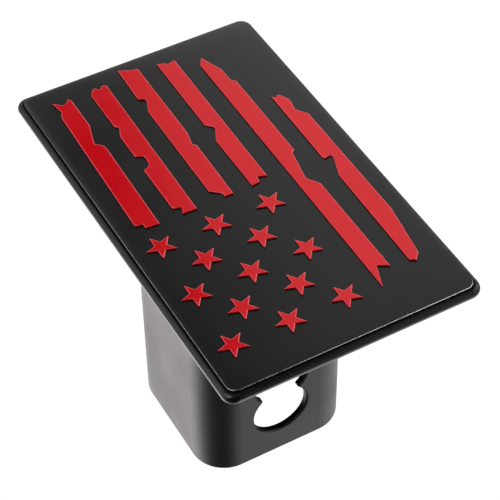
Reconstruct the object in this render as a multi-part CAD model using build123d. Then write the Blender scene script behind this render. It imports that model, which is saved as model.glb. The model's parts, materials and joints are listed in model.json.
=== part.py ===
"""Cover for a two inch hitch receiver, standing on the open end of its tube.

The base is one moulding: a flange with a half-round rim, a shallow seat for the face
plate on top, and below it a hollow square tube that slides into the receiver. A pin
slot of two joined holes goes through both end walls of the tube. The face plate is
bonded into the seat, and a worn flag of thirteen stars and six ragged stripes, each a
raised piece of its own, is bonded onto the plate.

Millimetres. +Z points up, out of the face. X runs along the flag and Y up the flag.
The origin is at the middle of the tube's open end.
"""

import os
from math import cos, pi, sin

from build123d import *

# Receiver that the cover fits, and the play each side of the tube in it
receiver_bore = 50.8
receiver_play = 1.4

# Tube, and what is left of it below the pin slot
tube_tail = 9.3
tube_wall = 2.0
tube_corner = 10.6
tube_end_round = 0.6
tube_root_round = 1.5

# Flange and its rim
flange_length = 127.0
flange_width = 76.2
flange_thickness = 3.3
flange_corner = 3.6
flange_edge_round = 1.6
rim_width = 1.55

# Pin slot: two holes for a five eighths inch pin, joined at a rounded waist
pin_diameter = 15.9
pin_play = 1.7
pin_near = 52.9
pin_step = 13.6
slot_waist_round = 0.5
slot_edge_bevel = 0.4

# Face plate, seated in the flange
face_thickness = 1.5
face_rise = 0.5
face_gap = 0.1
face_corner = 2.8
face_edge_round = 0.3

# Raised stars and stripes
trim_thickness = 0.5
trim_bevel = 0.15

# Field of the flag on the face plate, and its rows of stripes
flag_left_margin = 9.0
flag_right_margin = 2.7
flag_top_margin = 5.7
flag_bottom_margin = 4.6
stripe_height = 6.0
stripe_rows = 6
canton_stripes = 4
canton_length = 51.0

# Stars, set in rows and columns that take turns
star_radius = 4.6
star_waist = 1.8
star_tip_cut = 0.4
star_points = 5
star_rows = 5
star_columns = 5
star_left_margin = 4.3
star_right_margin = 7.7
star_top_margin = 2.4
star_bottom_margin = 4.4

# Squares of the drawing grid, over the flag's length and over one stripe's height
grid_columns = 112
grid_rows = 6

# Ragged outlines, top stripe first, each walked round from its lower left corner.
# Squares along from the stripe's left end, and squares up from its lower edge.
STRIPE_OUTLINES = [
    [
        (0.0, 0.0), (32.6, -0.7), (34.6, -0.5), (35.5, 0.2), (36.5, 1.4), (37.1, 1.3), (44.2, -0.7),
        (56.0, -0.8), (57.4, 0.0), (56.2, 0.6), (55.5, 2.2), (57.7, 4.6), (52.8, 3.9), (51.6, 4.7),
        (50.6, 4.9), (4.2, 6.2), (2.7, 6.2), (2.1, 5.5), (1.9, 4.0), (0.3, 4.0),
    ],
    [
        (0.0, 0.0), (57.0, -1.0), (57.5, 0.4), (56.2, 1.6), (57.4, 2.3), (57.6, 3.2), (55.2, 4.8),
        (40.3, 4.9), (39.4, 4.1), (38.8, 4.0), (36.6, 5.0), (35.4, 5.3), (26.9, 5.4), (26.2, 5.1),
        (25.3, 3.3), (24.7, 3.0), (22.3, 3.3), (20.9, 4.0), (20.7, 5.2), (20.0, 5.7), (3.7, 5.8),
        (3.0, 5.4), (2.6, 3.6), (2.0, 3.5), (0.2, 4.3),
    ],
    [
        (0.2, 0.0), (22.0, -0.4), (22.8, 0.5), (27.8, -0.5), (59.1, -0.8), (59.5, 1.4), (60.4, 3.0),
        (61.1, 4.7), (47.7, 5.2), (46.9, 5.0), (46.1, 3.5), (45.3, 3.4), (40.8, 5.1), (4.2, 5.5),
        (2.1, 3.0), (1.4, 2.6), (0.3, 2.6),
    ],
    [
        (1.6, 0.0), (57.2, -0.5), (56.6, 2.0), (57.4, 3.0), (58.0, 4.9), (28.2, 5.2), (26.4, 3.5),
        (25.4, 3.3), (21.8, 5.1), (20.6, 5.5), (0.3, 5.5), (0.5, 3.0), (2.6, 2.5),
    ],
    [
        (7.5, 0.2), (42.6, 0.2), (43.5, 0.6), (45.9, 2.3), (46.8, 2.6), (57.1, 0.7), (57.8, -0.3),
        (91.1, -0.4), (92.1, 0.7), (97.7, 0.9), (105.2, 3.6), (102.3, 5.4), (2.0, 5.9), (9.2, 3.3),
    ],
    [
        (5.8, 4.5), (7.9, 2.5), (25.0, 0.0), (68.8, 0.0), (72.0, 2.4), (75.7, 1.7), (76.9, 1.8),
        (79.7, 3.2), (80.0, 3.9), (78.9, 4.7), (80.3, 5.6), (51.5, 5.9), (50.6, 5.3), (51.0, 3.4),
        (50.1, 3.2), (44.2, 5.2), (42.9, 5.6), (6.7, 6.1),
    ],
]

# Sizes that follow from the ones above
tube_width = receiver_bore - 2 * receiver_play
bore_width = tube_width - 2 * tube_wall
hole_radius = (pin_diameter + pin_play) / 2
pin_far = pin_near + pin_step
tube_length = pin_far + hole_radius + tube_tail
flange_top = tube_length + flange_thickness
seat_depth = face_thickness - face_rise
seat_floor = flange_thickness - seat_depth
seat_length = flange_length - 2 * rim_width
seat_width = flange_width - 2 * rim_width
face_length = seat_length - 2 * face_gap
face_width = seat_width - 2 * face_gap
face_top = flange_top + face_rise
flag_left = flag_left_margin - face_length / 2
flag_right = face_length / 2 - flag_right_margin
flag_top = face_width / 2 - flag_top_margin
flag_bottom = flag_bottom_margin - face_width / 2
stripe_pitch = (flag_top - flag_bottom - stripe_height) / (stripe_rows - 1)
canton_height = stripe_height + (canton_stripes - 1) * stripe_pitch
star_column_pitch = (canton_length - star_left_margin - star_right_margin) / (star_columns - 1)
star_row_pitch = (canton_height - star_top_margin - star_bottom_margin) / (star_rows - 1)


def flange():
    """Plate with a half-round rim and a seat for the face plate sunk into its top."""
    outline = Pos(0, 0, tube_length) * RectangleRounded(flange_length, flange_width, flange_corner)
    plate = extrude(outline, flange_thickness)
    plate = fillet(plate.edges().filter_by(Plane.XY), flange_edge_round)
    mouth = Pos(0, 0, flange_top) * RectangleRounded(seat_length, seat_width, face_corner + face_gap)
    return plate - extrude(mouth, -seat_depth)


def tube_outside():
    """Outer form of the tube, solid, up to half way into the floor of the seat."""
    outline = RectangleRounded(tube_width, tube_width, tube_corner)
    return extrude(outline, tube_length + seat_floor / 2)


def tube_inside():
    """Hollow of the tube, closed at the top by the flange."""
    return extrude(RectangleRounded(bore_width, bore_width, tube_corner - tube_wall), tube_length)


def pin_slot():
    """Two overlapping pin holes with a rounded waist, cut along X through both walls."""
    near_height = tube_length - pin_near
    far_height = tube_length - pin_far
    holes = Pos(0, near_height) * Circle(hole_radius) + Pos(0, far_height) * Circle(hole_radius)
    slot = extrude(Plane.YZ * holes, tube_width, both=True)
    waist_height = (near_height + far_height) / 2
    edges_along = slot.edges().filter_by(Axis.X)
    waist = edges_along.sort_by(lambda edge: abs(edge.center().Z - waist_height))[:2]
    return fillet(waist, slot_waist_round)


def base():
    """The one-piece moulding: flange, tube, hollow and pin slot."""
    top = flange()
    post = tube_outside()
    body = top + post
    body = fillet(new_edges(top, post, combined=body), tube_root_round)
    body = fillet(body.faces().sort_by(Axis.Z)[0].edges(), tube_end_round)
    body -= tube_inside()
    slot = pin_slot()
    slotted = body - slot
    slot_edges = new_edges(body, slot, combined=slotted).group_by(Axis.X)
    return chamfer(slot_edges[0] + slot_edges[-1], slot_edge_bevel)


def face_plate():
    """Flat plate in the flange's seat, its upper edge rounded."""
    outline = Pos(0, 0, face_top) * RectangleRounded(face_length, face_width, face_corner)
    plate = extrude(outline, -face_thickness)
    return fillet(plate.faces().sort_by(Axis.Z)[-1].edges(), face_edge_round)


def raised_piece(outline):
    """Flat piece on the face plate with this outline and a bevelled upper edge."""
    piece = extrude(Pos(0, 0, face_top) * outline, trim_thickness)
    return chamfer(piece.faces().sort_by(Axis.Z)[-1].edges(), trim_bevel)


def star(centre_x, centre_y):
    """Five-pointed star with blunt tips and one point up the flag."""
    corners = []
    for step in range(2 * star_points):
        reach = star_radius if step % 2 == 0 else star_waist
        turn = pi / 2 + step * pi / star_points
        corners.append((centre_x + reach * cos(turn), centre_y + reach * sin(turn)))
    outline = make_face(Polyline(corners, close=True))
    tips = outline.vertices().sort_by_distance((centre_x, centre_y, 0))[star_points:]
    return raised_piece(chamfer(tips, star_tip_cut))


def stars():
    """Stars on every other place of a lattice, three and two to a row in turn."""
    pieces = []
    for row in range(star_rows):
        centre_y = flag_top - star_top_margin - row * star_row_pitch
        for column in range(row % 2, star_columns, 2):
            centre_x = flag_left + star_left_margin + column * star_column_pitch
            pieces.append(star(centre_x, centre_y))
    return pieces


def stripes():
    """Ragged stripes, the upper ones beside the stars and the others below them."""
    square_x = (flag_right - flag_left) / grid_columns
    square_y = stripe_height / grid_rows
    pieces = []
    for row, outline in enumerate(STRIPE_OUTLINES):
        left = flag_left
        if row < canton_stripes:
            left += canton_length
        bottom = flag_top - stripe_height - row * stripe_pitch
        corners = [(left + along * square_x, bottom + up * square_y) for along, up in outline]
        pieces.append(raised_piece(make_face(Polyline(corners, close=True))))
    return pieces


def all_pieces():
    """Every separate piece under its name."""
    pieces = {"base": base(), "face_plate": face_plate()}
    for number, piece in enumerate(stars(), start=1):
        pieces[f"star_{number:02d}"] = piece
    for number, piece in enumerate(stripes(), start=1):
        pieces[f"stripe_{number}"] = piece
    return pieces


os.makedirs("parts", exist_ok=True)
for name, piece in all_pieces().items():
    export_step(piece, f"parts/{name}.step")
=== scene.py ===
"""Looks of the hitch receiver cover: materials, soft studio light, pale floor and camera.

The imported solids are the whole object, so no piece is added. Each one gets its material,
and the raised stars and stripes get their crisp edges rounded.

Metres, in the frame of the solids: X runs along the flag, Y up the flag and Z out of the
face. Here the stars' end is near and the other end far, and the top of the flag is on the
left, as the camera sees them.
"""

import json
import math

import bpy
from mathutils import Matrix, Vector


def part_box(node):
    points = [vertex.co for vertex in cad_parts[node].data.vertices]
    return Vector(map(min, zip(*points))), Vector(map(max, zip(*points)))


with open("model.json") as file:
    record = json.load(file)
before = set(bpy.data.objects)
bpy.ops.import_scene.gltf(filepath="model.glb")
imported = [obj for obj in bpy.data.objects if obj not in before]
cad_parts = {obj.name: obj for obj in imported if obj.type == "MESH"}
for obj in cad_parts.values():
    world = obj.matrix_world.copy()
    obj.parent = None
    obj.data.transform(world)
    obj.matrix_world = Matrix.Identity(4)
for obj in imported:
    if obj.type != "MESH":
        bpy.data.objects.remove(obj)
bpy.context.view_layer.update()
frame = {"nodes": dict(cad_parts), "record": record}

scene = bpy.context.scene

# Sizes that the solids and the record give
NEAR_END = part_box("base")[0].x
RIM_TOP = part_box("base")[1].z
PLATE_HALF_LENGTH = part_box("face_plate")[1].x
PLATE_HALF_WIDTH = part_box("face_plate")[1].y
PIN_HOLES = [mount for mount in frame["record"]["mounts"] if mount["kind"] == "bore"]
PIN_HEIGHTS = [mount["pos_m"][2] for mount in PIN_HOLES]
PIN_RADIUS = PIN_HOLES[0]["dims"]["r_mm"] / 1000
SLOT_TOP = max(PIN_HEIGHTS) + PIN_RADIUS

# Camera, found from the outlines of the flange and the tube in the photograph. The roll is
# in degrees, and the lens and the sensor are in millimetres.
CAMERA_PLACE = (-0.30840, 0.16601, 0.43315)
CAMERA_AIM = (0.00161, -0.00451, 0.06000)
CAMERA_ROLL = -0.772
CAMERA_LENS = 130.05
CAMERA_SENSOR = 36.0

# A name that ends in EDGES is where a soft step begins and where it ends, one in BAND is
# the edges of a rise and of a fall, and one in STEPS is the edges and the height of each
# of several soft steps.
CLOUD_EDGES = (0.3, 0.7)

# Black moulding: its reflectance, and the colours and roughness that its clouds go between
MOULDING_DARK = (0.0030, 0.0030, 0.0033)
MOULDING_LIGHT = (0.0050, 0.0049, 0.0049)
MOULDING_ROUGHNESS = (0.42, 0.48)
MOULDING_REFLECTANCE = 0.5

# Where the moulding is smoother: low on the rim, by distances below its top, and left on
# the rim's near side, by distances from the near end and by places on Y
LOW_RIM_SMOOTHER = 0.24
LOW_RIM_UPPER_EDGES = (0.0013, 0.0021)
LOW_RIM_LOWER_EDGES = (0.0031, 0.0033)
NEAR_SIDE_SMOOTHER = 0.2
NEAR_SIDE_DEPTH_EDGES = (0.0017, 0.0025)
NEAR_SIDE_LEFT_EDGES = (-0.008, 0.018)

# Shade in the groove round the plate, by distances outwards from the outline of the seat,
# and on the lip beside it at the near end. It ends a little below the rim's top.
SEAT_GAP = 0.0001
SEAT_CORNER = 0.0029
GROOVE_EDGES = (0.00022, 0.00042)
LIP_SHADE = 0.85
LIP_EDGES = (0.0004, 0.0012)
LIP_DEPTH_EDGES = (0.0030, 0.0043)
RIM_DEPTH_EDGES = (0.0019, 0.0029)

# Shade on the walls of the pin slot, by the place and by how far a wall faces along X
SLOT_SHADE = 0.85
SLOT_SIDE_EDGES = (PIN_RADIUS + 0.0005, PIN_RADIUS + 0.0008)
SLOT_HEIGHT_EDGES = (SLOT_TOP + 0.0045, SLOT_TOP + 0.0095)
SLOT_FACING_EDGES = (0.3, 0.8)

# Lean of the surface into the pin slot, close to the slot's right edge
SLOT_LEAN = 0.25
SLOT_LEAN_EDGES = (PIN_RADIUS + 0.0003, PIN_RADIUS + 0.0011)
SLOT_RIGHT_EDGES = (-0.005, 0.004)

# Black paint on the plate: the colours and roughness that its clouds go between
PLATE_DARK = (0.0022, 0.0022, 0.0023)
PLATE_LIGHT = (0.0038, 0.0037, 0.0037)
PLATE_ROUGHNESS = (0.19, 0.22)

# Outward lean of the plate's surface, the sum of a broad and a tight one: how far inside
# the edge each begins, and its slope at the edge. Each side has its share of the sum.
PLATE_LEANS = [(0.010, 0.035), (0.0022, 0.06)]
NEAR_LEAN_SHARE = 0.15
FAR_LEAN_SHARE = 0.8
RIGHT_LEAN_SHARE = 0.4
LEFT_LEAN_SHARE = 1.0

# Painted highlight along the plate's rounded edge, a pale line where the edge catches light.
# A highlight line is a band between two tilts, where 0 is a wall and 1 is flat. FACING is how far the
# surface faces along X or Y.
EDGE_HIGHLIGHT_COLOUR = (0.92, 0.92, 0.92)
HIGHLIGHT_PATCH_EDGES = (0.30, 0.55)
HIGHLIGHT_PATCH_LEAST = 0.6
NEAR_HIGHLIGHT_BAND = [(0.26, 0.36), (0.86, 0.92)]
NEAR_HIGHLIGHT_FACING_EDGES = (-0.35, -0.15)
NEAR_HIGHLIGHT_PLACE_EDGES = (-0.035, 0.035)
NEAR_HIGHLIGHT_RIGHT = 0.98
NEAR_HIGHLIGHT_LEFT = 0.33
LEFT_HIGHLIGHT_BAND = [(0.72, 0.88), (0.98, 0.995)]
LEFT_HIGHLIGHT_FACING_EDGES = (0.05, 0.12)
LEFT_HIGHLIGHT_PLACE_EDGES = (0.0, 0.055)
LEFT_HIGHLIGHT_NEAR = 0.30
LEFT_HIGHLIGHT_FAR = 0.12

# Breaks in the near painted highlight, where a noise is low, on the left part of the line only
BREAK_DEPTH = 0.85
BREAK_EDGES = (0.42, 0.52)
BREAK_PLACE_EDGES = (0.012, 0.026)

# Red paint: the colours and roughness that its clouds go between, its shine, and a dark
# colour on its side walls, which is painted shade
RED_DARK = (0.71, 0.0008, 0.0080)
RED_LIGHT = (0.77, 0.0012, 0.0095)
RED_ROUGHNESS = (0.11, 0.14)
RED_METALLIC = 0.2
RED_REFLECTANCE = 0.65
RED_WALL_SHADE_COLOUR = (0.05, 0.0, 0.0)
RED_WALL_SHADE_SHARE = 0.8
RED_WALL_SHADE_TILT_EDGES = (0.1, 0.5)

# Painted highlight on the red pieces, a pale line beside the crisp edges, most of all on those that face
# to the right.
# TURN is how well the rounded normal agrees with the flat one, and TILT is as above.
EDGE_GLINT_COLOUR = (0.90, 0.42, 0.46)
GLINT_RADIUS = 0.00045
GLINT_TURN_EDGES = (0.94, 0.992)
GLINT_TILT_STEPS = [((0.3, 0.6), 0.1), ((0.8, 0.95), 0.9)]
GLINT_RIGHT = (0.35, -0.94, 0.0)
GLINT_RIGHT_EDGES = (-0.2, 0.15)
GLINT_LEFT_SHARE = 0.4
GLINT_PATCH_EDGES = (0.25, 0.6)
GLINT_PATCH_LEAST = 0.45

# Rounding of the crisp edges of the stars and stripes; the angle is in degrees
ROUNDING_WIDTH = 0.00007
ROUNDING_SEGMENTS = 2
ROUNDING_LEAST_ANGLE = 25
JOIN_DISTANCE = 0.000001

# Round lights on the dome: direction, radius and soft edge in degrees, brightness. DIM is
# the brightness that is left beside them.
DOME_LIGHTS = {
    "wall left": ((0.55, 0.83, 0.05), 22, 30, 0.45),
    "box left": ((0.60, 0.74, 0.30), 10, 6, 0.5),
    "box above left": ((-0.05, 0.75, 0.66), 20, 10, 2.6),
    "box right": ((0.00, -0.87, 0.50), 22, 9, 2.5),
    "low front": ((-0.75, -0.65, 0.10), 10, 17, 1.1),
    "overhead": ((-0.12, -0.08, 1.00), 16, 24, 0.3),
}
DOME_DIM = 0.015

# Round lights on the table below, which ends at a soft horizon, and a warm patch that adds
# red and a share of blue and has no horizon
TABLE_LIGHTS = {
    "table behind left": ((0.75, 0.35, -0.56), 25, 34, 1.9),
    "table hot spot": ((0.46, 0.54, -0.70), 8, 14, 1.2),
    "table right": ((-0.25, -0.75, -0.60), 30, 25, 1.36),
}
TABLE_DIM = 0.1
TABLE_HORIZON_EDGES = (-0.60, -0.40)
WARM_LIGHTS = {"table warm patch": ((0.75, 0.35, -0.56), 15, 22, 0.16)}
WARM_BLUE_SHARE = 0.32
WHITE = (1.0, 1.0, 1.0)

# White panel over the far side and the wall below it. Two straight edges bound the panel,
# and each is given by the direction at right angles to it that points off the panel.
PANEL_SIDES = [(0.11, 1.0, 0.326), (0.28, 1.0, 0.1667)]
PANEL_STEPS = [((-0.002, 0.011), 0.55), ((0.01, 0.09), 0.22)]
WALL_STEPS = [((0.58, 0.66), 0.6), ((0.3, 0.55), 0.5)]
WALL_LEFT_EDGES = (-0.10, 0.35)
WALL_LEFT_SHARE = 0.4
FAR_SIDE_EDGES = (0.42, 0.53)
ABOVE_TABLE_EDGES = (-0.1, 0.1)

# Narrow panel over the far left side
LEFT_PANEL_ACROSS = (0.0, 1.0, 0.27)
LEFT_PANEL_BAND = [(-0.040, 0.03), (0.08, 0.18)]
LEFT_PANEL_FAR_STEPS = [((0.50, 0.60), 0.6), ((0.60, 0.74), 0.8)]
LEFT_PANEL_HEIGHT_EDGES = (0.4, 0.6)

# Floor, just under the tube's open end so that the two surfaces don't coincide
FLOOR_REACH = 6.0
FLOOR_DROP = 0.0001
FLOOR_CLOUD_EDGES = (0.2, 0.8)
FLOOR_GLOW = (1.0, 1.1)


# Values in a node tree

class Value:
    """A number, vector or colour in a node tree. Arithmetic on it adds nodes."""

    def __init__(self, socket):
        self.socket = socket
        self.tree = socket.id_data

    def __add__(self, other):
        return calculate("ADD", self, other)

    def __radd__(self, other):
        return calculate("ADD", other, self)

    def __sub__(self, other):
        return calculate("SUBTRACT", self, other)

    def __rsub__(self, other):
        return calculate("SUBTRACT", other, self)

    def __mul__(self, other):
        return calculate("MULTIPLY", self, other)

    def __truediv__(self, other):
        return calculate("DIVIDE", self, other)

    def __pow__(self, other):
        return calculate("POWER", self, other)

    def __abs__(self):
        return calculate("ABSOLUTE", self)

    def rise(self, edges, low=0.0, high=1.0):
        """Soft step from low to high as the value goes from one edge to the other."""
        return Value(new_node(self.tree, "ShaderNodeMapRange", {
            "Value": self,
            "From Min": edges[0],
            "From Max": edges[1],
            "To Min": low,
            "To Max": high,
        }, interpolation_type="SMOOTHSTEP").outputs["Result"])

    def fall(self, edges, high=1.0, low=0.0):
        """Soft step down from high to low."""
        return self.rise(edges, high, low)

    def rises(self, steps):
        """Sum of soft steps up."""
        return sum(self.rise(edges, high=height) for edges, height in steps)

    def falls(self, steps):
        """Sum of soft steps down."""
        return sum(self.fall(edges, high=height) for edges, height in steps)

    def band(self, rising, falling):
        """1 between a soft rise and a soft fall, and 0 outside them."""
        return self.rise(rising) * self.fall(falling)

    def split(self):
        """Its parts along X, Y and Z."""
        node = new_node(self.tree, "ShaderNodeSeparateXYZ", {"Vector": self})
        return [Value(output) for output in node.outputs]


def given_by(tree, kind, output):
    """What a node without inputs says, such as the place or the normal of each point."""
    return Value(tree.nodes.new(kind).outputs[output])


def new_node(tree, kind, inputs, **settings):
    """Node with these settings, and its inputs filled or linked."""
    node = tree.nodes.new(kind)
    for name, setting in settings.items():
        setattr(node, name, setting)
    for key, given in inputs.items():
        fill(node.inputs[key], given)
    return node


def fill(socket, given):
    """Give a socket a number, vector or colour of its own, or link a value to it."""
    if isinstance(given, Value):
        given.tree.links.new(given.socket, socket)
    elif socket.type == "RGBA":
        socket.default_value = (*given, 1.0)
    else:
        socket.default_value = given


def tree_of(values):
    """Node tree that the values among these are in."""
    return next(value.tree for value in values if isinstance(value, Value))


def calculate(operation, *values):
    """Result of a calculation with numbers."""
    inputs = dict(enumerate(values))
    return Value(new_node(tree_of(values), "ShaderNodeMath", inputs, operation=operation).outputs[0])


def vector_math(operation, *values, output="Vector"):
    """Result of a calculation with vectors."""
    inputs = dict(enumerate(values))
    node = new_node(tree_of(values), "ShaderNodeVectorMath", inputs, operation=operation)
    return Value(node.outputs[output])


def dot(first, second):
    """Dot product of two vectors."""
    return vector_math("DOT_PRODUCT", first, second, output="Value")


def length(vector):
    """Length of a vector."""
    return vector_math("LENGTH", vector, output="Value")


def unit(vector):
    """Vector of length 1 in the same direction."""
    return vector_math("NORMALIZE", vector)


def combined(*parts):
    """Vector with these parts along X, Y and Z."""
    return Value(new_node(tree_of(parts), "ShaderNodeCombineXYZ", dict(enumerate(parts))).outputs[0])


def noise(place, scale, detail=2.0):
    """Cloudy noise between 0 and 1."""
    inputs = {"Vector": place, "Scale": scale, "Detail": detail}
    return Value(new_node(place.tree, "ShaderNodeTexNoise", inputs).outputs["Fac"])


def mix_colour(factor, first, second):
    """Colour that goes from the first to the second as the factor goes from 0 to 1."""
    # The node also mixes numbers and vectors. Inputs 6 and 7 and output 2 are its colours.
    inputs = {0: factor, 6: first, 7: second}
    return Value(new_node(factor.tree, "ShaderNodeMix", inputs, data_type="RGBA").outputs[2])


def relief(height, strength, distance, normal=None):
    """Normal of a fine relief, on the surface's own normal or on a given one."""
    inputs = {"Height": height, "Strength": strength, "Distance": distance}
    if normal:
        inputs["Normal"] = normal
    return Value(new_node(height.tree, "ShaderNodeBump", inputs).outputs["Normal"])


def new_material(name):
    """Material, the inputs of its shader, and the place of a point on the piece."""
    material = bpy.data.materials.new(name)
    material.use_nodes = True
    tree = material.node_tree
    place = given_by(tree, "ShaderNodeTexCoord", "Object")
    return material, tree.nodes["Principled BSDF"].inputs, place


# Black moulding

def moulded_plastic(name):
    """Black moulded plastic: satin, with a fine even grain and faint cloudy patches."""
    material, shader, place = new_material(name)
    clouds = noise(place, scale=55.0, detail=3.0)
    grain = noise(place, scale=2600.0)
    normal = slot_normal(place, given_by(place.tree, "ShaderNodeNewGeometry", "Normal"))
    roughness = clouds.rise(CLOUD_EDGES, *MOULDING_ROUGHNESS) - smoother_places(place)
    lit = groove_light(place) * (1.0 - slot_walls(place) * SLOT_SHADE)
    fill(shader["Base Color"], mix_colour(clouds, MOULDING_DARK, MOULDING_LIGHT))
    fill(shader["Roughness"], roughness)
    fill(shader["Specular IOR Level"], lit * MOULDING_REFLECTANCE)
    fill(shader["Normal"], relief(grain, strength=0.12, distance=0.00004, normal=normal))
    return material


def smoother_places(place):
    """How much smoother the moulding is, low on the rim and left on its near side."""
    x, y, z = place.split()
    low_rim = (RIM_TOP - z).band(LOW_RIM_UPPER_EDGES, LOW_RIM_LOWER_EDGES) * LOW_RIM_SMOOTHER
    near_side = (x - NEAR_END).fall(NEAR_SIDE_DEPTH_EDGES, high=NEAR_SIDE_SMOOTHER)
    return calculate("MAXIMUM", low_rim, near_side * y.rise(NEAR_SIDE_LEFT_EDGES))


def groove_light(place):
    """Light on the moulding: none in the groove round the plate, and little on the near lip."""
    x, _, z = place.split()
    away = distance_outside(place, PLATE_HALF_LENGTH + SEAT_GAP, PLATE_HALF_WIDTH + SEAT_GAP, SEAT_CORNER)
    near = (x - NEAR_END).fall(LIP_DEPTH_EDGES, high=LIP_SHADE)
    lit = away.rise(GROOVE_EDGES) * (1.0 - near * away.fall(LIP_EDGES))
    return 1.0 - (1.0 - lit) * (RIM_TOP - z).fall(RIM_DEPTH_EDGES)


def distance_outside(place, half_length, half_width, corner):
    """Distance outside an upright rounded rectangle, negative inside it."""
    x, y, _ = place.split()
    over_x = abs(x) - (half_length - corner)
    over_y = abs(y) - (half_width - corner)
    past = combined(calculate("MAXIMUM", over_x, 0.0), calculate("MAXIMUM", over_y, 0.0))
    inner = calculate("MINIMUM", calculate("MAXIMUM", over_x, over_y), 0.0)
    return length(past) + inner - corner


def slot_walls(place):
    """1 on the inner walls of the pin slot, which lie in shade, and 0 elsewhere."""
    _, y, z = place.split()
    facing = abs(given_by(place.tree, "ShaderNodeNewGeometry", "True Normal").split()[0])
    inside = abs(y).fall(SLOT_SIDE_EDGES) * z.fall(SLOT_HEIGHT_EDGES)
    return inside * facing.fall(SLOT_FACING_EDGES)


def slot_normal(place, normal):
    """Normal that leans into the pin slot close to its right edge, as on a soft edge."""
    x, y, _ = place.split()
    right = y.fall(SLOT_RIGHT_EDGES)
    for height in PIN_HEIGHTS:
        inward = vector_math("SUBTRACT", combined(x, 0.0, height), place)
        slope = length(inward).fall(SLOT_LEAN_EDGES, high=SLOT_LEAN) * right
        normal = vector_math("ADD", normal, vector_math("MULTIPLY", unit(inward), slope))
    return unit(normal)


# Black plate

def satin_paint(name):
    """Satin black paint on the plate, with a painted highlight along its rounded edge."""
    material, shader, place = new_material(name)
    clouds = noise(place, scale=40.0, detail=3.0)
    peel = noise(place, scale=900.0)
    patchy = noise(place, scale=700.0, detail=3.0).rise(HIGHLIGHT_PATCH_EDGES, low=HIGHLIGHT_PATCH_LEAST)
    normal = given_by(place.tree, "ShaderNodeNewGeometry", "Normal")
    # The pale line on the rounded edge is a painted highlight.
    painted_highlight = calculate("MAXIMUM", near_painted_highlight(place, normal), left_painted_highlight(place, normal)) * patchy
    paint = mix_colour(clouds, PLATE_DARK, PLATE_LIGHT)
    rolled = rolled_normal(place, normal)
    fill(shader["Base Color"], mix_colour(painted_highlight, paint, EDGE_HIGHLIGHT_COLOUR))
    fill(shader["Roughness"], clouds.rise(CLOUD_EDGES, *PLATE_ROUGHNESS))
    fill(shader["Normal"], relief(peel, strength=0.05, distance=0.00003, normal=rolled))
    return material


def near_painted_highlight(place, normal):
    """Painted highlight along the plate's near edge, weaker and broken towards the left."""
    across = place.split()[1]
    facing, _, tilt = normal.split()
    line = tilt.band(*NEAR_HIGHLIGHT_BAND) * facing.fall(NEAR_HIGHLIGHT_FACING_EDGES)
    strength = across.fall(NEAR_HIGHLIGHT_PLACE_EDGES, high=NEAR_HIGHLIGHT_RIGHT, low=NEAR_HIGHLIGHT_LEFT)
    breaks = noise(place, scale=420.0).fall(BREAK_EDGES, high=BREAK_DEPTH)
    return line * strength * (1.0 - breaks * across.rise(BREAK_PLACE_EDGES))


def left_painted_highlight(place, normal):
    """Faint painted highlight along the plate's left edge, weaker towards the far end."""
    along = place.split()[0]
    _, facing, tilt = normal.split()
    line = tilt.band(*LEFT_HIGHLIGHT_BAND) * facing.rise(LEFT_HIGHLIGHT_FACING_EDGES)
    return line * along.fall(LEFT_HIGHLIGHT_PLACE_EDGES, high=LEFT_HIGHLIGHT_NEAR, low=LEFT_HIGHLIGHT_FAR)


def rolled_normal(place, normal):
    """Normal of a plate that was pressed a little round towards its edges."""
    x, y, _ = place.split()
    lean_x = edge_lean(x, PLATE_HALF_LENGTH, NEAR_LEAN_SHARE, FAR_LEAN_SHARE)
    lean_y = edge_lean(y, PLATE_HALF_WIDTH, RIGHT_LEAN_SHARE, LEFT_LEAN_SHARE)
    return unit(vector_math("ADD", normal, combined(lean_x, lean_y)))


def edge_lean(along, half, low_share, high_share):
    """Outward lean along one axis, with a share of its own at the low and the high end."""
    slopes = []
    for reach, slope in PLATE_LEANS:
        past = calculate("MAXIMUM", abs(along) - (half - reach), 0.0) / reach
        slopes.append(past ** 2.0 * slope)
    share = calculate("GREATER_THAN", along, 0.0) * (high_share - low_share) + low_share
    return sum(slopes) * calculate("SIGN", along) * share


# Red stars and stripes

def red_paint(name):
    """Glossier red paint, with a painted highlight beside the edges and painted shade on the side walls.
    """
    material, shader, place = new_material(name)
    clouds = noise(place, scale=60.0, detail=3.0)
    peel = noise(place, scale=1200.0)
    flat_normal = given_by(place.tree, "ShaderNodeNewGeometry", "True Normal")
    tilt = flat_normal.split()[2]
    paint = mix_colour(clouds, RED_DARK, RED_LIGHT)
    # The pale colour beside the edges is a painted highlight.
    paint = mix_colour(painted_edge_glints(place, flat_normal, tilt), paint, EDGE_GLINT_COLOUR)
    # The dark colour on the side walls is painted shade.
    painted_wall_shade = tilt.fall(RED_WALL_SHADE_TILT_EDGES, high=RED_WALL_SHADE_SHARE)
    fill(shader["Base Color"], mix_colour(painted_wall_shade, paint, RED_WALL_SHADE_COLOUR))
    fill(shader["Roughness"], clouds.rise(CLOUD_EDGES, *RED_ROUGHNESS))
    fill(shader["Metallic"], RED_METALLIC)
    fill(shader["Specular IOR Level"], RED_REFLECTANCE)
    fill(shader["Normal"], relief(peel, strength=0.04, distance=0.00003))
    return material


def painted_edge_glints(place, flat_normal, tilt):
    """Painted highlight lines beside the crisp edges, where a rounded normal turns from the flat one."""
    bevel = new_node(place.tree, "ShaderNodeBevel", {"Radius": GLINT_RADIUS}, samples=8)
    rounded = Value(bevel.outputs["Normal"])
    turned = dot(rounded, flat_normal).fall(GLINT_TURN_EDGES)
    right = dot(rounded, GLINT_RIGHT).rise(GLINT_RIGHT_EDGES, low=GLINT_LEFT_SHARE)
    patchy = noise(place, scale=900.0).rise(GLINT_PATCH_EDGES, low=GLINT_PATCH_LEAST)
    return turned * tilt.rises(GLINT_TILT_STEPS) * right * patchy


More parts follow.
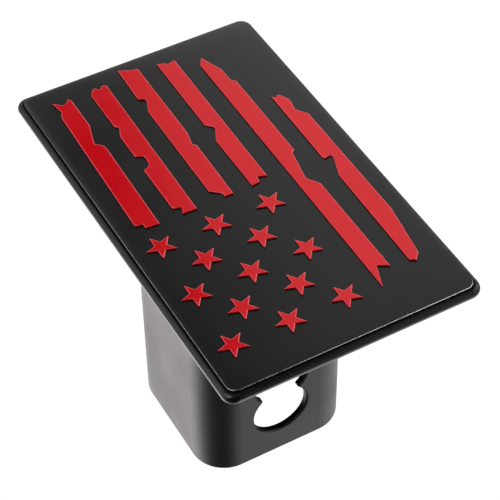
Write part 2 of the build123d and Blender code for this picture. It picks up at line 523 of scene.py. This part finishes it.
def round_edges(node):
    """Round a piece's crisp edges a little, as paint and tooling do."""
    joined = node.modifiers.new("joined corners", "WELD")
    joined.merge_threshold = JOIN_DISTANCE
    rounding = node.modifiers.new("rounding", "BEVEL")
    rounding.width = ROUNDING_WIDTH
    rounding.segments = ROUNDING_SEGMENTS
    rounding.limit_method = "ANGLE"
    rounding.angle_limit = math.radians(ROUNDING_LEAST_ANGLE)
    rounding.harden_normals = True


def dress():
    """Give each solid the material of its slot, and round the red ones."""
    makers = {"black_moulding": moulded_plastic, "black_plate": satin_paint, "red_trim": red_paint}
    materials = {slot: make(slot) for slot, make in makers.items()}
    for part in frame["record"]["subparts"]:
        slot = part["material_slot"]
        node = frame["nodes"][part["node"]]
        node.data.materials.clear()
        node.data.materials.append(materials[slot])
        if slot == "red_trim":
            round_edges(node)


# Light

def dome_light():
    """Soft lights and walls round the object. The camera itself sees plain white."""
    world = bpy.data.worlds.new("studio")
    scene.world = world
    world.use_nodes = True
    tree = world.node_tree
    direction = unit(given_by(tree, "ShaderNodeTexCoord", "Generated"))
    total = spots(direction, DOME_LIGHTS) + DOME_DIM + table(direction)
    total = total + far_panel(direction) + left_panel(direction)
    warm = spots(direction, WARM_LIGHTS)
    light = new_node(tree, "ShaderNodeCombineColor", {
        "Red": total + warm,
        "Green": total,
        "Blue": total + warm * WARM_BLUE_SHARE,
    })
    seen = given_by(tree, "ShaderNodeLightPath", "Is Camera Ray")
    colour = mix_colour(seen, Value(light.outputs["Color"]), WHITE)
    fill(tree.nodes["Background"].inputs["Color"], colour)


def spots(direction, lights):
    """Sum of round lights."""
    return sum(spot(direction, *light) for light in lights.values())


def spot(direction, towards, radius, soft_edge, level):
    """Round light with a soft edge outside its radius."""
    near = dot(direction, Vector(towards).normalized())
    edges = (math.cos(math.radians(radius + soft_edge)), math.cos(math.radians(radius)))
    return near.rise(edges, high=level)


def table(direction):
    """Lit table top below the horizon."""
    up = direction.split()[2]
    return (spots(direction, TABLE_LIGHTS) + TABLE_DIM) * up.fall(TABLE_HORIZON_EDGES)


def far_panel(direction):
    """White panel with straight edges, which the plate reflects, and the wall below it."""
    ahead, left, up = direction.split()
    depths = [dot(direction, -Vector(side).normalized()) for side in PANEL_SIDES]
    panel = calculate("MINIMUM", *depths).rises(PANEL_STEPS)
    wall = up.falls(WALL_STEPS) * left.fall(WALL_LEFT_EDGES, low=WALL_LEFT_SHARE)
    return (panel + wall) * ahead.rise(FAR_SIDE_EDGES) * up.rise(ABOVE_TABLE_EDGES)


def left_panel(direction):
    """Narrow panel, which the left edge of the plate and the rim reflect."""
    ahead, _, up = direction.split()
    strip = dot(direction, Vector(LEFT_PANEL_ACROSS).normalized()).band(*LEFT_PANEL_BAND)
    return strip * ahead.rises(LEFT_PANEL_FAR_STEPS) * up.rise(LEFT_PANEL_HEIGHT_EDGES)


# Floor and camera

def floor():
    """Plain pale floor that only the camera sees."""
    reach = FLOOR_REACH
    corners = [(-reach, -reach), (reach, -reach), (reach, reach), (-reach, reach)]
    mesh = bpy.data.meshes.new("floor")
    mesh.from_pydata([(x, y, -FLOOR_DROP) for x, y in corners], [], [(0, 1, 2, 3)])
    mesh.materials.append(pale_glow("floor"))
    ground = bpy.data.objects.new("floor", mesh)
    scene.collection.objects.link(ground)
    ground.visible_diffuse = False
    ground.visible_glossy = False
    ground.visible_transmission = False
    ground.visible_shadow = False


def pale_glow(name):
    """White that glows a little unevenly."""
    material = bpy.data.materials.new(name)
    material.use_nodes = True
    tree = material.node_tree
    tree.nodes.clear()
    place = given_by(tree, "ShaderNodeTexCoord", "Object")
    strength = noise(place, scale=4.0).rise(FLOOR_CLOUD_EDGES, *FLOOR_GLOW)
    glow = new_node(tree, "ShaderNodeEmission", {"Strength": strength})
    new_node(tree, "ShaderNodeOutputMaterial", {"Surface": Value(glow.outputs["Emission"])})
    return material


def make_camera():
    """Camera at the photograph's angle."""
    data = bpy.data.cameras.new("camera")
    data.sensor_width = CAMERA_SENSOR
    data.lens = CAMERA_LENS
    camera = bpy.data.objects.new("camera", data)
    scene.collection.objects.link(camera)
    place = Vector(CAMERA_PLACE)
    turn = (Vector(CAMERA_AIM) - place).to_track_quat("-Z", "Y").to_matrix()
    roll = Matrix.Rotation(math.radians(CAMERA_ROLL), 3, "Z")
    camera.matrix_world = Matrix.Translation(place) @ (turn @ roll).to_4x4()
    scene.camera = camera


dress()
dome_light()
floor()
make_camera()
scene.view_settings.view_transform = "Standard"
